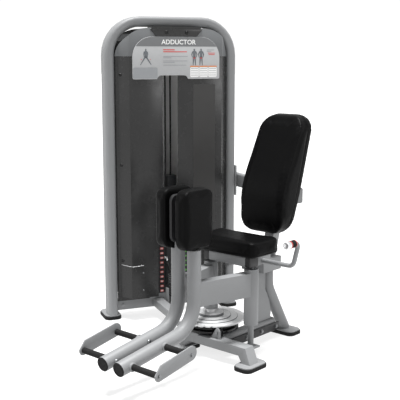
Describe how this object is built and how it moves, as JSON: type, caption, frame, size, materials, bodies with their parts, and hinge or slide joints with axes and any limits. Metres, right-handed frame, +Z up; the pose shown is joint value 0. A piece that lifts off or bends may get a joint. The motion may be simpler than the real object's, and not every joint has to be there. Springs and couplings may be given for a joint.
{
  "type": "hip adductor machine",
  "caption": "Seated inner-thigh machine: weight tower turned beside a seat, two swinging arms with thigh pads and foot pegs, cable and cam.",
  "frame": {"origin": "middle of the bounding box, on the floor", "axes": "+Z up; +X towards the seated user's left; +Y behind the seated user, who faces -Y"},
  "size_m": [1.3566, 1.608, 1.78],
  "materials": {
    "frame_paint": "satin grey powder coat",
    "bright_steel": "plain bright steel",
    "cam_metal": "bright turned metal",
    "black_iron": "black cast plates",
    "pulley_plastic": "black moulded wheel",
    "shroud_plastic": "dark satin-gloss sheet",
    "cover_plastic": "grey moulded cover",
    "placard_film": "light grey printed panel",
    "vinyl": "black upholstery with a soft sheen",
    "black_rubber": "matt black rubber"
  },
  "bodies": {
    "frame": {"back_brace": "frame_paint", "back_cushion": "vinyl", "back_post": "frame_paint", "cross_tube": "frame_paint", "floor_pulley_bracket": "frame_paint", "foot_pad_front_left": "black_rubber", "foot_pad_front_right": "black_rubber", "foot_pad_rear": "black_rubber", "foot_pad_tower_left": "black_rubber", "foot_pad_tower_right": "black_rubber", "front_beam": "frame_paint", "front_shroud_left": "shroud_plastic", "front_shroud_right": "shroud_plastic", "guide_rod_left": "bright_steel", "guide_rod_right": "bright_steel", "handle_grip_left": "black_rubber", "handle_grip_right": "black_rubber", "handle_left": "frame_paint", "handle_right": "frame_paint", "lift_cable": "black_rubber", "link_beam": "frame_paint", "pivot_shaft_left": "bright_steel", "pivot_shaft_right": "bright_steel", "placard": "placard_film", "placard_bracket": "black_iron", "rear_leg": "frame_paint", "rear_shroud": "shroud_plastic", "seat_cushion": "vinyl", "seat_frame": "frame_paint", "seat_web": "frame_paint", "side_bar": "black_iron", "spine_beam": "frame_paint", "top_cover": "cover_plastic", "top_pulley_bracket": "frame_paint", "tower_arch": "frame_paint", "tower_base_beam": "frame_paint", "tower_top_beam": "frame_paint", "weight_stack_lower": "black_iron"},
    "carriage": {"head_plate": "black_iron", "weight_plate_1": "black_iron", "weight_plate_2": "black_iron", "weight_plate_3": "black_iron", "head_yoke": "black_iron", "selector_stem": "bright_steel"},
    "pin": {"selector_pin": "bright_steel"},
    "cam": {"cam_drum": "cam_metal", "cam_plate": "cam_metal"},
    "left_arm": {"arm_frame_left": "frame_paint", "thigh_pad_left": "vinyl", "foot_peg_front_left": "black_rubber", "foot_peg_rear_left": "black_rubber", "peg_plate_left": "frame_paint"},
    "right_arm": {"arm_frame_right": "frame_paint", "thigh_pad_right": "vinyl", "foot_peg_front_right": "black_rubber", "foot_peg_rear_right": "black_rubber", "peg_plate_right": "frame_paint"},
    "top_wheel": {"top_pulley": "pulley_plastic"},
    "floor_wheel": {"floor_pulley": "pulley_plastic"},
    "guide_wheel": {"guide_pulley": "pulley_plastic"}
  },
  "joints": [
    {"name": "left_arm_swing", "type": "hinge", "parent": "frame", "child": "left_arm", "pos_m": [0.49262, 0.05243, 0.33], "axis": [0, 0, 1], "range_deg": [0, 57]},
    {"name": "right_arm_swing", "type": "hinge", "parent": "frame", "child": "right_arm", "pos_m": [0.21862, 0.05243, 0.33], "axis": [0, 0, 1], "range_deg": [-57, 0]},
    {"name": "carriage_lift", "type": "slide", "parent": "frame", "child": "carriage", "axis": [0, 0, 1], "range_m": [0, 0.17]},
    {"name": "cam_turn", "type": "hinge", "parent": "frame", "child": "cam", "pos_m": [0.21862, 0.05243, 0.15], "axis": [0, 0, 1], "range_deg": [-75, 0]},
    {"name": "top_pulley_spin", "type": "hinge", "parent": "frame", "child": "top_wheel", "pos_m": [-0.36826, 0.33378, 1.56], "axis": [0.8919, 0.4522, 0], "range_deg": [0, 195]},
    {"name": "floor_pulley_spin", "type": "hinge", "parent": "frame", "child": "floor_wheel", "pos_m": [-0.31541, 0.28269, 0.17], "axis": [-0.172, -0.9851, 0], "range_deg": [0, 330]},
    {"name": "guide_pulley_spin", "type": "hinge", "parent": "frame", "child": "guide_wheel", "pos_m": [0.36462, -0.05157, 0.137], "axis": [0, 1, 0], "continuous": true},
    {"name": "selector_pin_pull", "type": "slide", "parent": "carriage", "child": "pin", "axis": [0.8926, -0.4509, 0], "range_m": [0, 0.09]}
  ],
  "couplings": [
    {"joint": "right_arm_swing", "follows": "left_arm_swing", "ratio": -1},
    {"joint": "cam_turn", "follows": "carriage_lift", "rad_per_m": -7.4074},
    {"joint": "top_pulley_spin", "follows": "carriage_lift", "rad_per_m": 19.417},
    {"joint": "floor_pulley_spin", "follows": "carriage_lift", "rad_per_m": 33.333}
  ]
}
